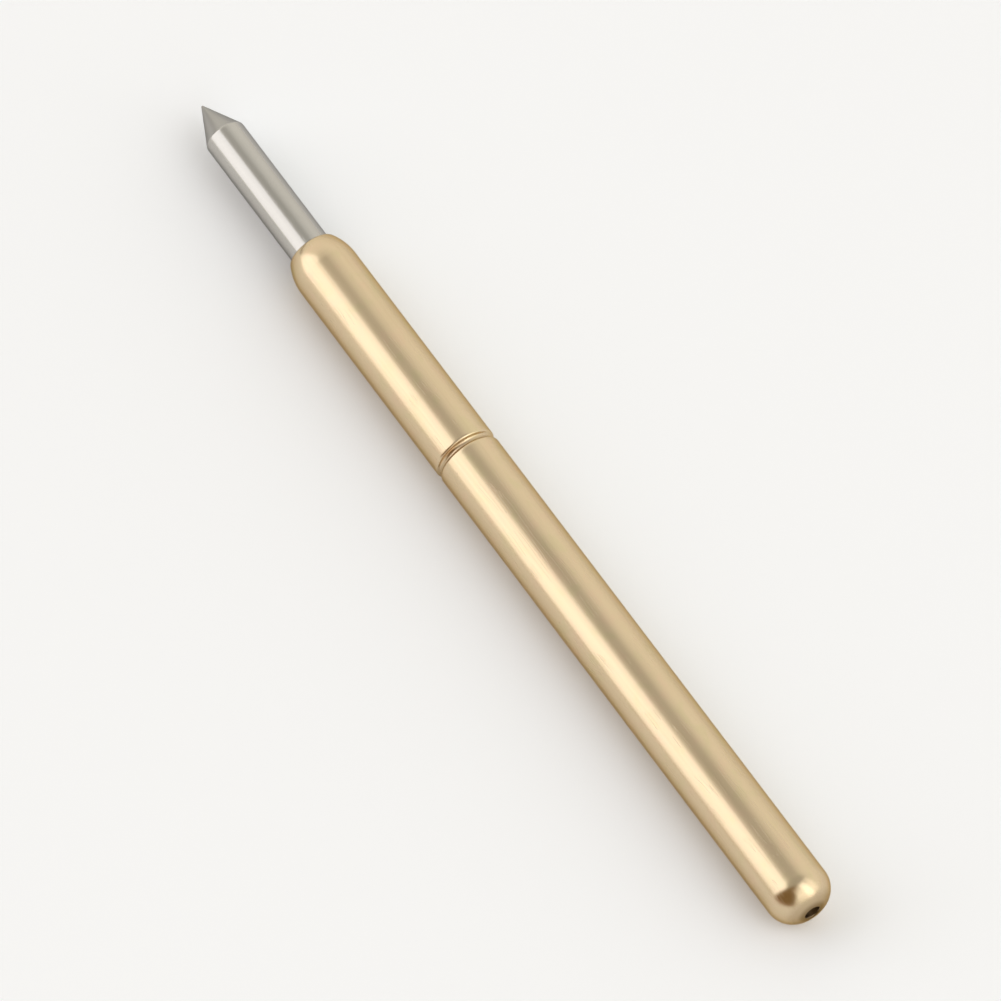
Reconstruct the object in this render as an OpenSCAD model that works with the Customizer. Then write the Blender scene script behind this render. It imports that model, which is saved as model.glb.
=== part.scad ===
// Spring-loaded contact probe: a drawn barrel that is rolled in at its mouth and domed at its
// tail, a turned plunger with a pointed contact tip, and the coil spring that drives it out.
// The probe lies along X with its tip towards -X. X = 0 is the front end of the barrel's
// straight wall. Sections are drawn in the [radius, x] half plane and turned about the axis.

/* [Barrel] */
// Outside diameter of the straight wall
barrel_d = 1.02; // [0.96:0.01:1.10]
// Length from the mouth to the pole of the tail
barrel_length = 13.4; // [11:0.05:16]
// Thickness of the drawn wall
wall = 0.11; // [0.09:0.005:0.12]

/* [Mouth] */
// Outer radius of the roll that closes the mouth round the plunger
lip_roll_r = 0.9; // [0.7:0.05:1.1]
// Rounding of the rolled edge
lip_edge_r = 0.03; // [0.02:0.005:0.04]
// Radial gap between the plunger's shaft and the rolled mouth
lip_gap = 0.02; // [0.01:0.005:0.03]

/* [Crimp] */
// Distance of the rolled groove from the front end of the straight wall
crimp_x = 3.82; // [3.6:0.02:5]
// Depth that the groove is rolled in
crimp_depth = 0.07; // [0.06:0.005:0.08]
// Edge radius of the wheel that rolls the groove
crimp_wheel_r = 0.055; // [0.045:0.005:0.07]
// Rounding where the wall bends into the groove
crimp_shoulder_r = 0.03; // [0.02:0.005:0.04]

/* [Tail] */
// Radius of the corner between the wall and the end face
tail_corner_r = 0.4; // [0.35:0.01:0.42]
// Radius of the shallow domed end face
tail_face_r = 0.9; // [0.8:0.05:1.2]
// Diameter of the vent hole at the pole
vent_d = 0.24; // [0.16:0.02:0.26]

/* [Plunger] */
// Diameter of the contact shaft
shaft_d = 0.66; // [0.62:0.01:0.67]
// Length that stands out of the mouth at rest
reach = 3.1; // [2.9:0.05:4]
// Stroke into the barrel
travel = 2.65; // [2:0.05:2.7]
// Full angle of the contact cone
tip_angle = 51; // [40:1:70]
// Rounding of the contact point
tip_point_r = 0.02; // [0.01:0.005:0.04]
// Radial gap between the waist and the rolled crimp
waist_gap = 0.06; // [0.04:0.01:0.08]
// Length of waist left in front of the crimp at full stroke
waist_spare = 0.15; // [0.1:0.05:0.25]
// Chamfers of the turned edges
chamfer = 0.02; // [0.01:0.005:0.025]

/* [Plunger tail] */
// Length of the bearing that slides in the bore
bearing_length = 0.95; // [0.6:0.05:1.2]
// Radial gap between the bearing and the bore
bearing_gap = 0.03; // [0.02:0.005:0.04]
// Axial gap between the bearing and the crimp that stops it
stop_gap = 0.01; // [0.005:0.005:0.02]
// Length of the nose that centres the spring
pilot_length = 0.25; // [0.2:0.05:0.4]
// Radial gap between that nose and the spring
pilot_gap = 0.045; // [0.03:0.005:0.06]

/* [Spring] */
// Diameter of the spring wire
wire_d = 0.11; // [0.08:0.01:0.12]
// Radial gap between the spring and the bore
spring_gap = 0.04; // [0.03:0.005:0.05]
// Turns in all, with the closed ones
spring_turns = 22; // [18:1:24]
// Closed turns at each end
closed_turns = 1.5; // [1:0.5:2]
// Play left between the wire and what it presses on
seat_gap = 0.01; // [0.005:0.005:0.02]

/* [Hidden] */
$fn = 96;

// Barrel
barrel_r = barrel_d / 2;
bore_r = barrel_r - wall;
shaft_r = shaft_d / 2;

// Mouth: the roll is an arc about lip_centre that ends in the rounded edge about edge_centre
mouth_r = shaft_r + lip_gap;
lip_centre = [barrel_r - lip_roll_r, 0];
edge_r = mouth_r + lip_edge_r;
edge_x = -sqrt(pow(lip_roll_r - lip_edge_r, 2) - pow(edge_r - lip_centre[0], 2));
edge_centre = [edge_r, edge_x];
mouth_x = edge_x - lip_edge_r;

// Crimp: one centre serves the groove outside and the bead inside, a wall thickness apart
crimp_r = barrel_r - crimp_depth + crimp_wheel_r;
bead_r = crimp_wheel_r + wall;
bead_inner_r = crimp_r - bead_r;
bead_half = bead_reach(bore_r);
shoulder_r = barrel_r - crimp_shoulder_r;
shoulder_dx = sqrt(pow(crimp_wheel_r + crimp_shoulder_r, 2) - pow(crimp_r - shoulder_r, 2));

// Tail: the corner arc runs into the face arc on the line through their two centres
tail_x = mouth_x + barrel_length;
corner_r = barrel_r - tail_corner_r;
corner_dx = sqrt(pow(tail_face_r - tail_corner_r, 2) - pow(corner_r, 2));
dome_x = tail_x - tail_face_r + corner_dx;

// Plunger
tip_half = tip_angle / 2;
tip_x = mouth_x - reach;
apex_x = tip_x + tip_point_r - tip_point_r / sin(tip_half);
cone_end_x = apex_x + shaft_r / tan(tip_half);
waist_r = bead_inner_r - waist_gap;
waist_front_x = crimp_x - bead_half - travel - waist_spare;
bearing_r = bore_r - bearing_gap;
bearing_front_x = crimp_x + stop_gap
    + max(bead_reach(bearing_r - chamfer), bead_reach(bearing_r) - chamfer);
bearing_end_x = bearing_front_x + bearing_length;
pilot_end_x = bearing_end_x + pilot_length;

// Spring: between the bearing's rear face and the hollow of the tail
wire_r = wire_d / 2;
coil_r = bore_r - spring_gap - wire_r;
pilot_r = coil_r - wire_r - pilot_gap;
hollow_corner_r = tail_corner_r - wall;
spring_x = bearing_end_x + seat_gap + wire_r;
spring_end_x = dome_x - seat_gap
    + sqrt(pow(hollow_corner_r - wire_r, 2) - pow(coil_r - corner_r, 2));
// Closed turns lie this share of a wire apart, so that neighbours never share metal
closed_pitch = 1.03 * wire_d;
// Turns over which the pitch opens from closed to free
opening_turns = 1;
free_rise = (spring_end_x - spring_x - closed_pitch * spring_turns)
    / (spring_turns - 2 * closed_turns - opening_turns);
wire_sides = 8;
steps_per_turn = 16;

// Half width of the crimp's inner bead where it stands at radius r
function bead_reach(r) = sqrt(pow(bead_r, 2) - pow(crimp_r - r, 2));

// Point at distance d and angle a, from the radius towards +X, of a centre c
function polar(c, d, a) = c + d * [cos(a), sin(a)];

// Distance gained u turns after the coils start to open
function opened(u) =
    u <= 0 ? 0
    : u < opening_turns ? u * u / (2 * opening_turns)
    : u - opening_turns / 2;

// Place along X of the wire's centre after t turns
function coil_x(t) = spring_x + closed_pitch * t
    + free_rise * (opened(t - closed_turns)
                   - opened(t - (spring_turns - closed_turns - opening_turns)));

// Ring of points round the wire after t turns, square to the wire
function wire_ring(t) =
    let (
        a = 360 * t,
        out = [0, cos(a), sin(a)],
        slope = (coil_x(t + 0.01) - coil_x(t - 0.01)) / 0.02,
        run = [slope, -2 * PI * coil_r * sin(a), 2 * PI * coil_r * cos(a)],
        side = cross(run, out) / norm(run)
    )
    [for (i = [0:wire_sides - 1])
        let (b = 360 * i / wire_sides)
        [coil_x(t), 0, 0] + (coil_r + wire_r * cos(b)) * out + wire_r * sin(b) * side];

module disc(centre, r) translate(centre) circle(r = r);

// Turns a [radius, x] section about the X axis
module turned() rotate([0, 90, 0]) rotate_extrude() children();

// Slice of a disc between two directions
module slice(centre, r, from, to) {
    intersection() {
        disc(centre, r);
        polygon([centre, polar(centre, 2 * r, from), polar(centre, 2 * r, (from + to) / 2),
                 polar(centre, 2 * r, to)]);
    }
}

// Rolled lip: it keeps the wall's thickness until it meets the sized mouth
module lip_section() {
    edge_angle = atan2(edge_x, edge_r - lip_centre[0]);
    difference() {
        union() {
            slice(lip_centre, lip_roll_r, edge_angle, 0);
            translate([mouth_r, edge_x]) square([lip_edge_r, -edge_x]);
            disc(edge_centre, lip_edge_r);
        }
        disc(lip_centre, lip_roll_r - wall);
        translate([0, mouth_x]) square([mouth_r, -mouth_x]);
    }
}

// Area inside the domed end, measured from where the dome starts and drawn in by inset
module dome_section(inset) {
    join_angle = atan2(corner_dx, corner_r);
    slice([corner_r, 0], tail_corner_r - inset, -90, 90);
    slice([0, -corner_dx], tail_face_r - inset, join_angle, 90);
}

// Area inside the barrel's straight part and its domed end
module tube_section(inset) {
    square([barrel_r - inset, dome_x]);
    translate([0, dome_x]) dome_section(inset);
}

// Inner bead that the rolling wheel raises, measured from the crimp
module bead_section() {
    intersection() {
        disc([crimp_r, 0], bead_r);
        translate([0, -bead_r]) square([bore_r + wall / 2, 2 * bead_r]);
    }
}

// Groove that the rolling wheel leaves outside, with the wall rounded into it on both sides
module groove_section() {
    left = [shoulder_r, -shoulder_dx];
    right = [shoulder_r, shoulder_dx];
    outside = [2 * wall, 0];
    difference() {
        polygon([left + outside, left, [crimp_r, 0], right, right + outside]);
        disc(left, crimp_shoulder_r);
        disc(right, crimp_shoulder_r);
    }
    disc([crimp_r, 0], crimp_wheel_r);
}

module barrel_section() {
    difference() {
        union() {
            lip_section();
            difference() {
                tube_section(0);
                tube_section(wall);
            }
            translate([0, crimp_x]) bead_section();
        }
        translate([0, crimp_x]) groove_section();
        translate([0, dome_x]) square([vent_d / 2, 2 * tail_corner_r]);
    }
}

module barrel() {
    color([0.86, 0.72, 0.42]) turned() barrel_section();
}

module plunger_section() {
    point_x = tip_x + tip_point_r;
    touch = polar([0, point_x], tip_point_r, -tip_half);
    intersection() {
        disc([0, point_x], tip_point_r);
        translate([0, tip_x]) square([tip_point_r, 2 * tip_point_r]);
    }
    polygon([
        [0, point_x],
        [touch[0], touch[1]],
        [shaft_r, cone_end_x],
        [shaft_r, waist_front_x - (shaft_r - waist_r)],
        [waist_r, waist_front_x],
        [waist_r, bearing_front_x],
        [bearing_r - chamfer, bearing_front_x],
        [bearing_r, bearing_front_x + chamfer],
        [bearing_r, bearing_end_x - chamfer],
        [bearing_r - chamfer, bearing_end_x],
        [pilot_r, bearing_end_x],
        [pilot_r, pilot_end_x - 2 * chamfer],
        [pilot_r - 2 * chamfer, pilot_end_x],
        [0, pilot_end_x]
    ]);
}

module plunger() {
    color([0.72, 0.72, 0.73]) turned() plunger_section();
}

module spring() {
    rings = spring_turns * steps_per_turn;
    last = rings * wire_sides;
    points = [for (k = [0:rings]) each wire_ring(k / steps_per_turn)];
    walls = [
        for (k = [0:rings - 1], i = [0:wire_sides - 1])
            let (
                j = (i + 1) % wire_sides,
                a = k * wire_sides + i,
                b = k * wire_sides + j
            )
            each [[a, b, b + wire_sides], [a, b + wire_sides, a + wire_sides]]
    ];
    start = [for (i = [wire_sides - 1:-1:0]) i];
    end = [for (i = [0:wire_sides - 1]) last + i];
    color([0.68, 0.66, 0.6]) polyhedron(points, concat([start, end], walls), convexity = 20);
}

barrel();
plunger();
spring();
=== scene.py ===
"""Looks of the spring-loaded contact pin: drawn barrel, turned plunger and coil spring.

The pin lies along X with its contact point towards -X. Sections are written in
millimetres as (place along X, radius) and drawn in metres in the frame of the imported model.
"""

import math

import bpy
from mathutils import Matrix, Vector


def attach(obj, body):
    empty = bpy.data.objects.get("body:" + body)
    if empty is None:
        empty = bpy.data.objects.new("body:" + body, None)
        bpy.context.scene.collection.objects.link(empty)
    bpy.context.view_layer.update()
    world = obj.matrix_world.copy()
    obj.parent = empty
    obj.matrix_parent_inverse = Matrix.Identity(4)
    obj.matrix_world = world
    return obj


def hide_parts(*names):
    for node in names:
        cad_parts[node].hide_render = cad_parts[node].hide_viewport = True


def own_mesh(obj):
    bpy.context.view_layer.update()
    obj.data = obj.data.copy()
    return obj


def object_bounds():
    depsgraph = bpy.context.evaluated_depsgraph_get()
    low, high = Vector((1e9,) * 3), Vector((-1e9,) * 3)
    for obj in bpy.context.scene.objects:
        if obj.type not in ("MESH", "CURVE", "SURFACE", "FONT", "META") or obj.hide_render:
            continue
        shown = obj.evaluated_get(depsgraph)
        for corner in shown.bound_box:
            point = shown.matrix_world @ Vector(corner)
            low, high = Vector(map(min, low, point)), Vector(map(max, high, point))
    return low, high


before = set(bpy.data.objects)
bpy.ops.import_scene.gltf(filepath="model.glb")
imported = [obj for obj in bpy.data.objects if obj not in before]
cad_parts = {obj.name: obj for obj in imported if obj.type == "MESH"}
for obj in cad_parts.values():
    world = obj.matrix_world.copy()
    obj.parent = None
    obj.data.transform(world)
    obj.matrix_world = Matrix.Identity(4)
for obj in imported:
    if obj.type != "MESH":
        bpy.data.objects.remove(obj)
cad_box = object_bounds()

MM = 0.001

# ---------------------------------------------------------------- sizes, in millimetres

BARREL_R = 0.51
BARREL_LENGTH = 13.4
WALL = 0.11
BORE_R = BARREL_R - WALL
SHAFT_R = 0.33
REACH = 3.1
TRAVEL = 2.65

LIP_ROLL_R = 0.9
LIP_EDGE_R = 0.03
LIP_GAP = 0.02
MOUTH_R = SHAFT_R + LIP_GAP
LIP_CENTRE = (0.0, BARREL_R - LIP_ROLL_R)
LIP_EDGE_OUT = MOUTH_R + LIP_EDGE_R
LIP_EDGE_BACK = math.sqrt((LIP_ROLL_R - LIP_EDGE_R) ** 2 - (LIP_EDGE_OUT - LIP_CENTRE[1]) ** 2)
LIP_EDGE = (-LIP_EDGE_BACK, LIP_EDGE_OUT)
MOUTH_X = LIP_EDGE[0] - LIP_EDGE_R
TIP_X = MOUTH_X - REACH
TAIL_X = MOUTH_X + BARREL_LENGTH

CRIMP_DEPTH = 0.07
CRIMP_WHEEL_R = 0.055
CRIMP_SHOULDER_R = 0.03
CRIMP = (3.82, BARREL_R - CRIMP_DEPTH + CRIMP_WHEEL_R)
CRIMP_BEAD_R = CRIMP_WHEEL_R + WALL
CRIMP_LIFT = CRIMP[1] - (BARREL_R - CRIMP_SHOULDER_R)
CRIMP_SHOULDER_DX = math.sqrt((CRIMP_WHEEL_R + CRIMP_SHOULDER_R) ** 2 - CRIMP_LIFT**2)


def bead_reach(radius):
    """Half width of the crimp's inner bead at a radius from the axis."""
    return math.sqrt(CRIMP_BEAD_R**2 - (CRIMP[1] - radius) ** 2)


TAIL_CORNER_R = 0.4
TAIL_FACE_R = 0.9
TAIL_FACE = (TAIL_X - TAIL_FACE_R, 0.0)
TAIL_CORNER_OUT = BARREL_R - TAIL_CORNER_R
TAIL_CORNER_DX = math.sqrt((TAIL_FACE_R - TAIL_CORNER_R) ** 2 - TAIL_CORNER_OUT**2)
TAIL_CORNER = (TAIL_FACE[0] + TAIL_CORNER_DX, TAIL_CORNER_OUT)
VENT_R = 0.12
VENT_RIM_R = 0.012

TIP_POINT_R = 0.02
TIP_ANGLE = 51
TIP_HALF_ANGLE = TIP_ANGLE / 2
APEX_X = TIP_X + TIP_POINT_R - TIP_POINT_R / math.sin(math.radians(TIP_HALF_ANGLE))
CONE_END_X = APEX_X + SHAFT_R / math.tan(math.radians(TIP_HALF_ANGLE))
CONE_EDGE_R = 0.03
CHAMFER = 0.02
WAIST_GAP = 0.06
WAIST_SPARE = 0.15
WAIST_R = CRIMP[1] - CRIMP_BEAD_R - WAIST_GAP
WAIST_FRONT_X = CRIMP[0] - bead_reach(BORE_R) - TRAVEL - WAIST_SPARE
BEARING_GAP = 0.03
BEARING_R = BORE_R - BEARING_GAP
BEARING_LENGTH = 0.95
PILOT_LENGTH = 0.25
STOP_GAP = 0.01
STOP_REACH = max(bead_reach(BEARING_R - CHAMFER), bead_reach(BEARING_R) - CHAMFER)
BEARING_FRONT_X = CRIMP[0] + STOP_GAP + STOP_REACH
BEARING_END_X = BEARING_FRONT_X + BEARING_LENGTH
PILOT_END_X = BEARING_END_X + PILOT_LENGTH

WIRE_R = 0.055
COIL_GAP = 0.04
COIL_R = BORE_R - COIL_GAP - WIRE_R
PILOT_GAP = 0.045
PILOT_R = COIL_R - WIRE_R - PILOT_GAP
SEAT_GAP = 0.01
HOLLOW_R = TAIL_CORNER_R - WALL - WIRE_R
COIL_FRONT_X = BEARING_END_X + SEAT_GAP + WIRE_R
COIL_END_X = TAIL_CORNER[0] - SEAT_GAP + math.sqrt(HOLLOW_R**2 - (COIL_R - TAIL_CORNER_OUT) ** 2)
COIL_TURNS = 22
CLOSED_TURNS = 1.5
CLOSED_SPACING = 1.03
CLOSED_PITCH = CLOSED_SPACING * 2 * WIRE_R
OPENING_TURNS = 1.0

# Distance from a curve at which a ring of edges keeps a straight wall flat
HOLD = 0.025

# Divisions round each turned piece, along each turn of the wire and across a quarter of it
BARREL_SIDES = 128
PLUNGER_SIDES = 96
COIL_STEPS = 28
WIRE_ROUNDING = 4

# Edges below this angle are shaded smooth, and vertices nearer than this meet
SMOOTH_ANGLE = math.radians(35)
WELD = 0.001


# ---------------------------------------------------------------- drawing and turning


def arc(centre, radius, start, end, steps):
    """Points on an arc; an angle is 0 along the radius and grows towards +X, in degrees."""
    points = []
    for step in range(steps + 1):
        angle = math.radians(start + (end - start) * step / steps)
        x = centre[0] + radius * math.sin(angle)
        points.append((x, centre[1] + radius * math.cos(angle)))
    return points


def let_go():
    """Goes back to object mode with nothing selected."""
    if bpy.context.mode != "OBJECT":
        bpy.ops.object.mode_set(mode="OBJECT")
    bpy.ops.object.select_all(action="DESELECT")


def start_chain(name, place):
    """Starts a piece in edit mode as a single vertex, at a place in millimetres."""
    let_go()
    bpy.ops.mesh.primitive_plane_add(size=MM, location=[MM * v for v in place])
    piece = bpy.context.object
    piece.name = name
    piece.data.name = name
    bpy.ops.object.transform_apply(location=True, rotation=True, scale=True)
    bpy.ops.object.mode_set(mode="EDIT")
    bpy.ops.mesh.select_all(action="SELECT")
    bpy.ops.mesh.merge(type="CENTER")


def draw_chain(places):
    """Draws the chain on from its selected end through the rest of its places."""
    for here, there in zip(places, places[1:]):
        step = [MM * (b - a) for a, b in zip(here, there)]
        bpy.ops.mesh.extrude_vertices_move(TRANSFORM_OT_translate={"value": step})


def merge_doubles():
    """Merges the selected vertices that meet."""
    bpy.ops.mesh.remove_doubles(threshold=WELD * MM)


def finish_shell():
    """Turns the faces of the mesh in edit mode outwards and shades them smooth."""
    bpy.ops.mesh.select_all(action="SELECT")
    bpy.ops.mesh.normals_make_consistent(inside=False)
    bpy.ops.object.mode_set(mode="OBJECT")
    bpy.ops.object.shade_smooth_by_angle(angle=SMOOTH_ANGLE)
    return bpy.context.object


def pick_ends(section):
    """Selects only the vertices where a turned section begins and ends."""
    bpy.ops.mesh.select_all(action="DESELECT")
    bpy.ops.object.mode_set(mode="OBJECT")
    for vertex in bpy.context.object.data.vertices:
        x = vertex.co.x / MM
        radius = math.hypot(vertex.co.y, vertex.co.z) / MM
        gap = min(math.dist((x, radius), end) for end in (section[0], section[-1]))
        vertex.select = gap < WELD
    bpy.ops.object.mode_set(mode="EDIT")


def turn(name, section, sides):
    """Turns a section of (x, radius) points, closed or ending on the axis, about the X axis."""
    places = [(x, 0.0, radius) for x, radius in section]
    start_chain(name, places[0])
    draw_chain(places)
    bpy.ops.mesh.select_all(action="SELECT")
    bpy.ops.mesh.spin(steps=sides, angle=2 * math.pi, center=(0, 0, 0), axis=(1, 0, 0))
    pick_ends(section)
    merge_doubles()
    return finish_shell()


# ---------------------------------------------------------------- finishes

GOLD_DEEP = (0.645, 0.508, 0.328, 1.0)
GOLD_PALE = (0.685, 0.546, 0.364, 1.0)
GOLD_BLUSH = (0.69, 0.51, 0.35, 1.0)
GOLD_GREEN = (0.62, 0.525, 0.315, 1.0)
GOLD_STREAK = (0.58, 0.45, 0.28, 1.0)
# Painted shade: dark brown laid into the bore, the vent, the crimp groove and a ring round the
# vent
GOLD_PAINTED_SHADE = (0.15, 0.095, 0.045, 1.0)
# Painted shade: darker gold laid on the tail's end face
GOLD_SHADED_END = (0.42, 0.31, 0.19, 1.0)
NICKEL_DEEP = (0.465, 0.442, 0.405, 1.0)
NICKEL_PALE = (0.52, 0.50, 0.465, 1.0)
NICKEL_DULL = (0.36, 0.345, 0.32, 1.0)
STEEL_DEEP = (0.50, 0.48, 0.44, 1.0)
STEEL_PALE = (0.62, 0.59, 0.53, 1.0)

# Tints of what each metal mirrors at a glancing angle
GOLD_EDGE = (0.62, 0.50, 0.32, 1.0)
NICKEL_EDGE = (0.45, 0.45, 0.46, 1.0)
STEEL_EDGE = (0.6, 0.6, 0.6, 1.0)


class Value:
    """A socket that sums can be written on; each sum adds its Math node."""

    def __init__(self, finish, socket):
        self.finish = finish
        self.socket = socket

    def math(self, operation, first, second=0.0):
        """Adds a Math node on two values and returns its result."""
        return self.finish.node(
            "Math", {"operation": operation}, {"Value": first, "Value_001": second}
        )

    def __add__(self, other):
        return self.math("ADD", self, other)

    __radd__ = __add__

    def __sub__(self, other):
        return self.math("SUBTRACT", self, other)

    def __rsub__(self, other):
        return self.math("SUBTRACT", other, self)

    def __mul__(self, other):
        return self.math("MULTIPLY", self, other)

    __rmul__ = __mul__

    def __abs__(self):
        return self.math("ABSOLUTE", self)

    def at_least(self, other):
        """The larger of this value and another."""
        return self.math("MAXIMUM", self, other)


class Finish:
    """A node tree in which a finish is mixed."""

    def __init__(self, tree):
        self.tree = tree
        tree.nodes.clear()

    def node(self, kind, settings, sockets, output=None):
        """Adds a node, sets it, joins its sockets and returns one output as a Value."""
        made = self.tree.nodes.new("ShaderNode" + kind)
        for name, setting in settings.items():
            if name == "stops":
                ramp = made.color_ramp
                while len(ramp.elements) < len(setting):
                    ramp.elements.new(1.0)
                for element, (place, shade) in zip(ramp.elements, setting):
                    element.position = place
                    element.color = shade
            else:
                setattr(made, name, setting)
        for name, value in sockets.items():
            socket = next(s for s in made.inputs if s.identifier == name)
            if isinstance(value, Value):
                self.tree.links.new(value.socket, socket)
            else:
                socket.default_value = value
        if output is None:
            found = next((s for s in made.outputs if s.enabled), None)
        else:
            found = next(s for s in made.outputs if s.identifier == output)
        return Value(self, found)

    def mix(self, share, first, second):
        """Colour between first and second by share."""
        return self.node(
            "Mix",
            {"data_type": "RGBA", "clamp_factor": True},
            {"Factor_Float": share, "A_Color": first, "B_Color": second},
            "Result_Color",
        )

    def between(self, value, low, high):
        """0 at low, 1 at high and a smooth change between them; high may be under low."""
        return self.node(
            "MapRange",
            {"interpolation_type": "SMOOTHSTEP"},
            {"Value": value, "From Min": low, "From Max": high},
            "Result",
        )

    def vector(self, operation, sockets, output="Vector"):
        """Adds a Vector Math node and returns one of its results."""
        return self.node("VectorMath", {"operation": operation}, sockets, output)

    def noise(self, place, along, across, detail, rough=0.5):
        """Noise from 0 to 1, with so many grains a millimetre along the axis and across it."""
        stretch = (along, across, across)
        spread = self.vector("MULTIPLY", {"Vector": place, "Vector_001": stretch})
        return self.node(
            "TexNoise",
            {"noise_dimensions": "3D"},
            {"Vector": spread, "Scale": 1.0, "Detail": detail, "Roughness": rough},
            "Fac",
        )


def millimetres(finish):
    """Object coordinates in millimetres."""
    metres = finish.node("TexCoord", {}, {}, "Object")
    return finish.vector("SCALE", {"Vector": metres, "Scale": 1 / MM})


def along_axis(finish, place):
    """How far a place lies along the X axis."""
    return finish.node("SeparateXYZ", {}, {"Vector": place}, "X")


def from_axis(finish, place):
    """How far a place lies from the X axis."""
    flat = finish.vector("MULTIPLY", {"Vector": place, "Vector_001": (0.0, 1.0, 1.0)})
    return finish.vector("LENGTH", {"Vector": flat}, "Value")


def start_material(name):
    """A new material and the empty finish in it."""
    material = bpy.data.materials.new(name)
    material.use_nodes = True
    return material, Finish(material.node_tree)


def metal(name, paint, edge_tint):
    """A metal finish whose colour, roughness and height in millimetres come from paint."""
    material, finish = start_material(name)
    colour, roughness, height = paint(finish)
    normal = finish.node(
        "Bump", {}, {"Strength": 1.0, "Distance": MM, "Height": height}, "Normal"
    )
    surface = finish.node(
        "BsdfPrincipled",
        {},
        {
            "Base Color": colour,
            "Metallic": 1.0,
            "Roughness": roughness,
            "Specular Tint": edge_tint,
            "Normal": normal,
        },
        "BSDF",
    )
    finish.node("OutputMaterial", {}, {"Surface": surface})
    return material


# How softly a patch of hairlines ends, as a step of the noise that places it
PATCH_EDGE = 0.05


def hairlines(finish, place, along, across, width, share):
    """Thin lines where a stretched noise crosses its middle, kept in a share of the surface."""
    level = abs(finish.noise(place, along, across, detail=1.0) - 0.5)
    patches = finish.noise(place, 1.7, 3.1, detail=1.0)
    kept = finish.between(patches, 1.0 - share, 1.0 - share + PATCH_EDGE)
    return finish.between(level, width, 0.0) * kept


# Where each mark on the gold begins and where it is full: places along X, radii from the axis
# and distances from the middle of the crimp, in millimetres
BORE_FRONT = (0.0, 0.03)
BORE_BACK = (TAIL_CORNER[0] - 0.1, TAIL_CORNER[0] - 0.15)
BORE_RADII = (BORE_R + 0.05, BORE_R + 0.01)
VENT_RADII = (VENT_R + 0.008, VENT_R + 0.001)
LIP_LENGTH = (0.0, -0.06)
CRIMP_SIDES = (0.12, 0.05)
GROOVE_SIDES = (0.1, 0.06)
GROOVE_RADII = (BARREL_R - 0.055, BARREL_R - 0.069)
END_LENGTH = (TAIL_CORNER[0] + 0.1, TAIL_CORNER[0] + 0.2)
END_RADII = (0.44, 0.28)
HALO_RADII = (0.27, 0.15)


def gold_paint(finish):
    """Bright gold plate over drawn brass: die lines, scuffs, painted shade in the bore, the
    vent, the crimp groove and round the vent, and a rougher tail end darkened with painted
    shade.
    """
    place = millimetres(finish)
    x = along_axis(finish, place)
    radius = from_axis(finish, place)
    cloud = finish.noise(place, 0.9, 2.2, detail=3.0)
    blush = finish.noise(place, 2.6, 4.2, detail=2.0)
    die_lines = finish.noise(place, 0.22, 9.0, detail=3.0, rough=0.6)
    fine_lines = finish.noise(place, 0.6, 34.0, detail=3.0, rough=0.6)
    grain = finish.noise(place, 55.0, 55.0, detail=2.0)
    rolled_lines = finish.noise(place, 60.0, 0.6, detail=2.0)
    scuffs = hairlines(finish, place, 0.5, 13.0, width=0.010, share=0.5)

    # The inside of the bore and the vent hole: rougher there, and darkened with painted shade
    bore = finish.between(x, *BORE_FRONT) * finish.between(x, *BORE_BACK)
    bore = bore * finish.between(radius, *BORE_RADII)
    inside = bore.at_least(finish.between(radius, *VENT_RADII))
    crimp_side = abs(x - CRIMP[0])
    rolled = finish.between(crimp_side, *CRIMP_SIDES).at_least(finish.between(x, *LIP_LENGTH))
    # Painted shade at the bottom of the crimp groove, darker than the plate round it
    groove_shade = finish.between(crimp_side, *GROOVE_SIDES) * finish.between(radius, *GROOVE_RADII)
    end = finish.between(x, *END_LENGTH)
    # Tail's end face: rougher there, and darkened with painted shade
    dull_and_shaded_end = end * finish.between(radius, *END_RADII)
    # Painted shade in a ring round the vent
    vent_shade = end * finish.between(radius, *HALO_RADII)
    # Painted shade: the bore, the vent, the crimp groove and a ring round the vent are darkened
    # towards dark brown
    painted_shade = (inside * 0.75).at_least(groove_shade * 0.2).at_least(vent_shade * 0.6)

    colour = finish.mix(cloud, GOLD_DEEP, GOLD_PALE)
    colour = finish.mix(finish.between(blush, 0.52, 0.7) * 0.5, colour, GOLD_BLUSH)
    colour = finish.mix(finish.between(blush, 0.48, 0.3) * 0.5, colour, GOLD_GREEN)
    colour = finish.mix(finish.between(die_lines, 0.5, 0.7) * 0.3, colour, GOLD_STREAK)
    # Painted shade: darker gold on the end face
    colour = finish.mix(dull_and_shaded_end * 0.6, colour, GOLD_SHADED_END)
    # Lays the painted shade into the colour
    colour = finish.mix(painted_shade, colour, GOLD_PAINTED_SHADE)
    roughness = 0.13 + 0.05 * cloud + 0.06 * die_lines + 0.06 * fine_lines + 0.04 * grain
    roughness = roughness + 0.2 * inside + 0.06 * groove_shade + 0.12 * scuffs + 0.06 * dull_and_shaded_end
    drawn = (0.0011 * die_lines + 0.00042 * fine_lines) * (1.0 - rolled)
    height = drawn + 0.00012 * grain + 0.0004 * rolled_lines * rolled - 0.0004 * scuffs
    return colour, roughness, height


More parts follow.
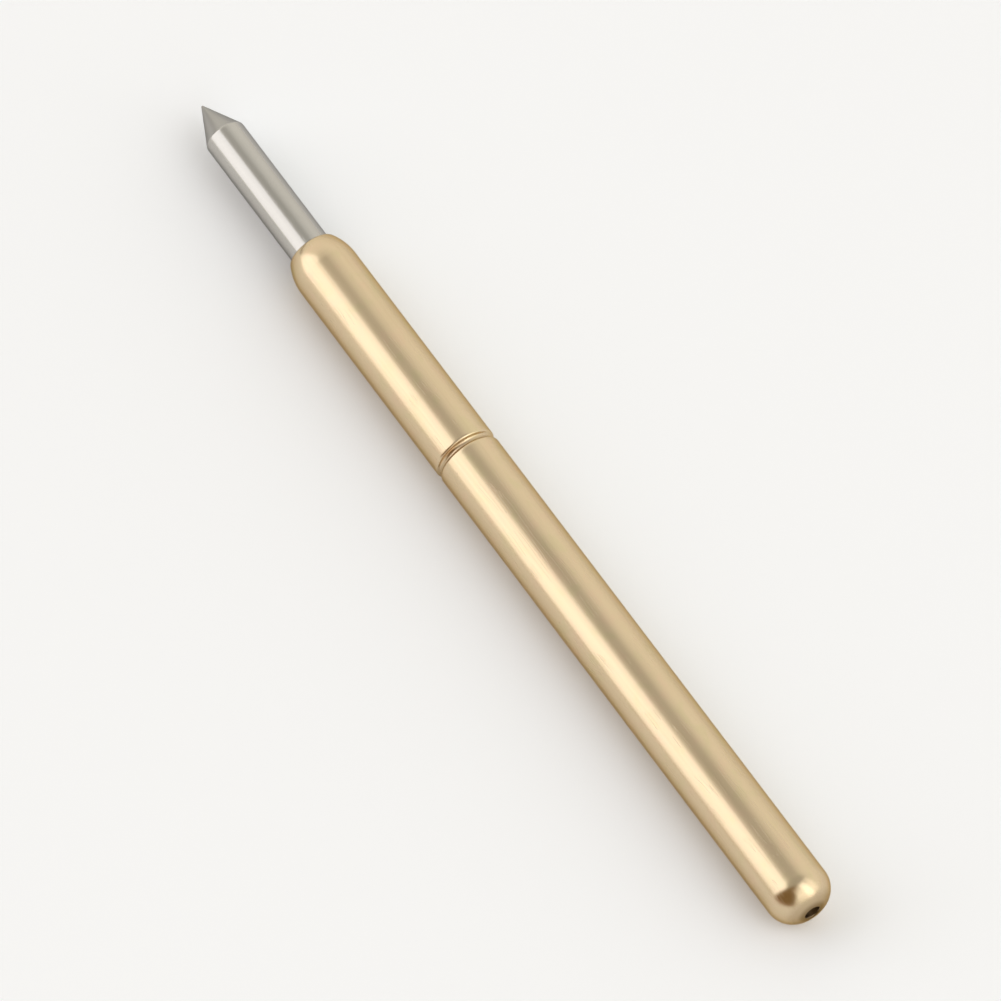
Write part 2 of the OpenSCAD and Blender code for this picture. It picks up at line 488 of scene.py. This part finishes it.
def nickel_paint(finish):
    """Bright nickel over turned steel, wiped by the mouth and finely turned on its cone."""
    place = millimetres(finish)
    x = along_axis(finish, place)
    cloud = finish.noise(place, 0.9, 2.0, detail=3.0)
    ground = finish.noise(place, 55.0, 1.0, detail=3.0, rough=0.6)
    wiped = finish.noise(place, 0.7, 22.0, detail=3.0)
    grain = finish.noise(place, 55.0, 55.0, detail=2.0)
    scuffs = hairlines(finish, place, 0.7, 11.0, width=0.010, share=0.45)
    cone = finish.between(x, CONE_END_X, CONE_END_X - CONE_EDGE_R)
    colour = finish.mix(cloud, NICKEL_DEEP, NICKEL_PALE)
    colour = finish.mix(finish.between(grain, 0.55, 0.75) * 0.25, colour, NICKEL_DULL)
    colour = finish.mix(cone * (0.3 + 0.3 * ground), colour, NICKEL_DULL)
    roughness = 0.11 + 0.05 * cloud + 0.05 * wiped + 0.03 * grain + 0.14 * cone + 0.1 * scuffs
    height = 0.0002 * wiped + 0.0001 * grain + (0.0002 + 0.0008 * cone) * ground
    return colour, roughness, height - 0.0004 * scuffs


def wire_paint(finish):
    """Drawn spring wire."""
    place = millimetres(finish)
    cloud = finish.noise(place, 1.5, 3.0, detail=3.0)
    drawn = finish.noise(place, 40.0, 8.0, detail=3.0)
    colour = finish.mix(cloud, STEEL_DEEP, STEEL_PALE)
    roughness = 0.25 + 0.1 * drawn
    return colour, roughness, 0.0003 * drawn


GOLD = metal("gold_plate_drawn", gold_paint, GOLD_EDGE)
NICKEL = metal("nickel_plate_turned", nickel_paint, NICKEL_EDGE)
WIRE = metal("spring_wire_drawn", wire_paint, STEEL_EDGE)


# ---------------------------------------------------------------- barrel


def barrel_section():
    """The barrel's wall, from the mouth over the outside to the vent and back inside."""
    roll_angle = math.degrees(math.atan2(LIP_EDGE[0], LIP_EDGE[1] - LIP_CENTRE[1]))
    lip = arc(LIP_EDGE, LIP_EDGE_R, -180, roll_angle, steps=9)
    lip += arc(LIP_CENTRE, LIP_ROLL_R, roll_angle, 0, steps=10)[1:]

    left = (CRIMP[0] - CRIMP_SHOULDER_DX, BARREL_R - CRIMP_SHOULDER_R)
    lean = math.degrees(math.atan2(CRIMP_SHOULDER_DX, CRIMP[1] - left[1]))
    shoulder = arc(left, CRIMP_SHOULDER_R, 0, lean, steps=5)
    groove = arc(CRIMP, CRIMP_WHEEL_R, lean - 180, -180, steps=5)[1:]
    half = [(left[0] - HOLD, BARREL_R)] + shoulder + groove
    crimp = half + [(2 * CRIMP[0] - x, radius) for x, radius in reversed(half[:-1])]

    join = math.degrees(math.atan2(TAIL_CORNER[0] - TAIL_FACE[0], TAIL_CORNER[1]))
    rim_r = VENT_R + VENT_RIM_R
    outer_end = math.degrees(math.acos(rim_r / TAIL_FACE_R))
    dome = arc(TAIL_CORNER, TAIL_CORNER_R, 0, join, steps=14)
    dome += arc(TAIL_FACE, TAIL_FACE_R, join, outer_end, steps=4)[1:]
    rim_x = dome[-1][0] - VENT_RIM_R
    rim = arc((rim_x, rim_r), VENT_RIM_R, 60, -90, steps=4)[1:]

    inner_r = TAIL_FACE_R - WALL
    inner_end = math.degrees(math.acos(VENT_R / inner_r))
    hollow = arc(TAIL_FACE, inner_r, inner_end, join, steps=2)
    hollow += arc(TAIL_CORNER, TAIL_CORNER_R - WALL, join, 0, steps=10)[1:]

    reach = math.degrees(math.acos((CRIMP[1] - BORE_R) / CRIMP_BEAD_R))
    bead = arc(CRIMP, CRIMP_BEAD_R, 180 - reach, 180 + reach, steps=10)

    inner_roll_r = LIP_ROLL_R - WALL
    tuck = math.degrees(math.acos((MOUTH_R - LIP_CENTRE[1]) / inner_roll_r))
    throat = arc(LIP_CENTRE, inner_roll_r, 0, -tuck, steps=6)

    section = lip + [(HOLD, BARREL_R)] + crimp
    section += [(TAIL_CORNER[0] - HOLD, BARREL_R)] + dome + rim + hollow
    section += [(TAIL_CORNER[0] - HOLD, BORE_R), (bead[0][0] + HOLD, BORE_R)]
    section += bead + [(bead[-1][0] - HOLD, BORE_R), (HOLD, BORE_R)] + throat
    return section + [section[0]]


barrel = turn("drawn_barrel", barrel_section(), BARREL_SIDES)
barrel.data.materials.append(GOLD)
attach(barrel, "barrel")
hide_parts("barrel")


# ---------------------------------------------------------------- plunger


def plunger_section():
    """The plunger from its point to the nose inside the spring."""
    half = math.radians(TIP_HALF_ANGLE)
    point = (TIP_X + TIP_POINT_R, 0.0)
    section = [(TIP_X, 0.0)] + arc(point, TIP_POINT_R, -75, -TIP_HALF_ANGLE, steps=3)
    edge_middle = (CONE_END_X + CONE_EDGE_R * math.tan(half / 2), SHAFT_R - CONE_EDGE_R)
    edge = arc(edge_middle, CONE_EDGE_R, -TIP_HALF_ANGLE, 0, steps=4)
    section += [(edge[0][0] - HOLD * math.cos(half), edge[0][1] - HOLD * math.sin(half))]
    section += edge + [(edge[-1][0] + HOLD, SHAFT_R)]
    step = SHAFT_R - WAIST_R
    section += [
        (WAIST_FRONT_X - step, SHAFT_R),
        (WAIST_FRONT_X, WAIST_R),
        (BEARING_FRONT_X, WAIST_R),
        (BEARING_FRONT_X, BEARING_R - CHAMFER),
        (BEARING_FRONT_X + CHAMFER, BEARING_R),
        (BEARING_END_X - CHAMFER, BEARING_R),
        (BEARING_END_X, BEARING_R - CHAMFER),
        (BEARING_END_X, PILOT_R),
        (PILOT_END_X - 2 * CHAMFER, PILOT_R),
        (PILOT_END_X, PILOT_R - 2 * CHAMFER),
        (PILOT_END_X, 0.0),
    ]
    return section


plunger = turn("turned_plunger", plunger_section(), PLUNGER_SIDES)
plunger.data.materials.append(NICKEL)
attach(plunger, "plunger")
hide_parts("plunger")


# ---------------------------------------------------------------- spring


def opened(turns):
    """Turns' worth of free pitch gained so many turns after the coils start to open."""
    if turns <= 0:
        return 0.0
    if turns < OPENING_TURNS:
        return turns * turns / (2 * OPENING_TURNS)
    return turns - OPENING_TURNS / 2


def coil_place(turns):
    """Middle of the wire after so many turns."""
    free = COIL_END_X - COIL_FRONT_X - CLOSED_PITCH * COIL_TURNS
    rise = free / (COIL_TURNS - 2 * CLOSED_TURNS - OPENING_TURNS)
    closing = COIL_TURNS - CLOSED_TURNS - OPENING_TURNS
    gained = opened(turns - CLOSED_TURNS) - opened(turns - closing)
    x = COIL_FRONT_X + CLOSED_PITCH * turns + rise * gained
    angle = 2 * math.pi * turns
    return (x, COIL_R * math.cos(angle), COIL_R * math.sin(angle))


def wind_spring(name, steps):
    """Draws the wire's middle line turn by turn, then gives it the wire's thickness."""
    line = [coil_place(i / steps) for i in range(COIL_TURNS * steps + 1)]
    start_chain(name, line[0])
    draw_chain(line)
    bpy.ops.object.mode_set(mode="OBJECT")
    bpy.ops.object.convert(target="CURVE")
    curve = bpy.context.object.data
    curve.bevel_depth = WIRE_R * MM
    curve.bevel_resolution = WIRE_ROUNDING
    curve.use_fill_caps = True
    bpy.ops.object.convert(target="MESH")
    bpy.ops.object.mode_set(mode="EDIT")
    bpy.ops.mesh.select_all(action="SELECT")
    merge_doubles()
    return finish_shell()


spring = wind_spring("coil_spring", COIL_STEPS)
spring.data.materials.append(WIRE)
spring_front = COIL_FRONT_X - WIRE_R
spring_end = COIL_END_X + WIRE_R
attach(spring, "barrel")
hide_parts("spring")
spring_end * MM
1 - TRAVEL / (spring_end - spring_front)
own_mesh(spring)


# ---------------------------------------------------------------- floor, light and camera

FLOOR_WHITE = (0.925, 0.945, 0.98, 1.0)
FLOOR_RADIUS = 1.5
FLOOR_SIDES = 64
LAMP_DISTANCE = 0.5
CAMERA_DISTANCE = 0.157
CAMERA_LENS = 382
CAMERA_CLIP = (0.01, 10.0)

# The room is a pale wall that dims overhead, with brown in front and a dark far left corner.
# A level goes with the height of a direction, and an edge with its start and its full place.
WALL_LEVELS = [(0.0, 0.99), (0.3, 1.04), (0.47, 1.065), (0.63, 1.03), (0.74, 0.96)]
WALL_LEVELS += [(0.83, 0.86), (0.883, 0.64), (0.906, 0.56), (1.0, 0.50)]
WALL_HUE = (1.0, 0.98, 0.91)
FRONT_LOW = (0.52, 0.35, 0.21, 1.0)
FRONT_HIGH = (0.25, 0.155, 0.06, 1.0)
FRONT_RISE = (0.0, 0.12)
FRONT_NEAR_EDGE = (0.15, 0.35)
FRONT_RIGHT_EDGE = (0.22, -0.02)
CORNER_GREY = (0.20, 0.19, 0.18, 1.0)
CORNER_FAR_EDGE = (-0.4, -0.55)
CORNER_LEFT_EDGE = (-0.5, -0.65)
CORNER_TOP_EDGE = (0.2, 0.05)

middle = Vector(((cad_box[0].x + cad_box[1].x) / 2, 0.0, 0.0))
to_camera = Vector((0.4226, -0.2762, 0.8632)).normalized()
right = Vector((0.5476, 0.8368, 0.0)).normalized()
near = Vector((right.y, -right.x, 0.0))

let_go()
bpy.ops.mesh.primitive_circle_add(
    vertices=FLOOR_SIDES,
    radius=FLOOR_RADIUS,
    fill_type="NGON",
    location=(middle.x, 0.0, -BARREL_R * MM),
)
floor = bpy.context.object
floor.name = "floor"
floor_material, paper = start_material("pale_floor")
matt = paper.node("BsdfDiffuse", {}, {"Color": FLOOR_WHITE}, "BSDF")
paper.node("OutputMaterial", {}, {"Surface": matt})
floor.data.materials.append(floor_material)


def softbox(name, towards, width, height, power, tint=(1.0, 1.0, 1.0)):
    """A soft lamp that faces the pin from the given direction."""
    lamp = bpy.data.lights.new(name, "AREA")
    lamp.color = tint
    lamp.shape = "RECTANGLE"
    lamp.size = width
    lamp.size_y = height
    lamp.energy = power
    holder = bpy.data.objects.new(name, lamp)
    holder.location = middle + towards.normalized() * LAMP_DISTANCE
    holder.rotation_mode = "QUATERNION"
    holder.rotation_quaternion = towards.to_track_quat("Z", "Y")
    bpy.context.collection.objects.link(holder)


def aim(across, nearer, height):
    """Direction from the pin, as seen from the camera: to the right, nearer and up."""
    return right * across + near * nearer + Vector((0.0, 0.0, height))


softbox(
    "left_softbox",
    aim(-0.84, -0.10, 0.52),
    width=0.42,
    height=0.48,
    power=0.56,
    tint=(0.88, 0.89, 1.0),
)
softbox("right_softbox", aim(0.60, 0.436, 0.67), width=0.73, height=0.73, power=0.70)
softbox("strip_lamp", aim(0.668, 0.418, 0.616), width=0.18, height=0.70, power=0.32)

world = bpy.data.worlds.new("studio")
bpy.context.scene.world = world
world.use_nodes = True
sky = Finish(world.node_tree)
way = sky.node("TexCoord", {}, {}, "Generated")
height = sky.node("SeparateXYZ", {}, {"Vector": way}, "Z")
nearness = sky.vector("DOT_PRODUCT", {"Vector": way, "Vector_001": near}, "Value")
sideways = sky.vector("DOT_PRODUCT", {"Vector": way, "Vector_001": right}, "Value")
wall_stops = [(z, [level * hue for hue in WALL_HUE] + [1.0]) for z, level in WALL_LEVELS]
wall = sky.node("ValToRGB", {"stops": wall_stops}, {"Fac": height}, "Color")
front = sky.between(nearness, *FRONT_NEAR_EDGE) * sky.between(sideways, *FRONT_RIGHT_EDGE)
corner = sky.between(nearness, *CORNER_FAR_EDGE) * sky.between(sideways, *CORNER_LEFT_EDGE)
corner = corner * sky.between(height, *CORNER_TOP_EDGE)
brown = sky.mix(sky.between(height, *FRONT_RISE), FRONT_LOW, FRONT_HIGH)
shade = sky.mix(front, sky.mix(corner, wall, CORNER_GREY), brown)
glow = sky.node("Background", {}, {"Color": shade, "Strength": 1.0}, "Background")
sky.node("OutputWorld", {}, {"Surface": glow})

eye = bpy.data.cameras.new("camera")
eye.lens = CAMERA_LENS
eye.clip_start, eye.clip_end = CAMERA_CLIP
camera = bpy.data.objects.new("camera", eye)
camera.location = middle + to_camera * CAMERA_DISTANCE
camera.rotation_mode = "QUATERNION"
camera.rotation_quaternion = to_camera.to_track_quat("Z", "Y")
bpy.context.collection.objects.link(camera)
bpy.context.scene.camera = camera
bpy.context.scene.view_settings.view_transform = "Standard"
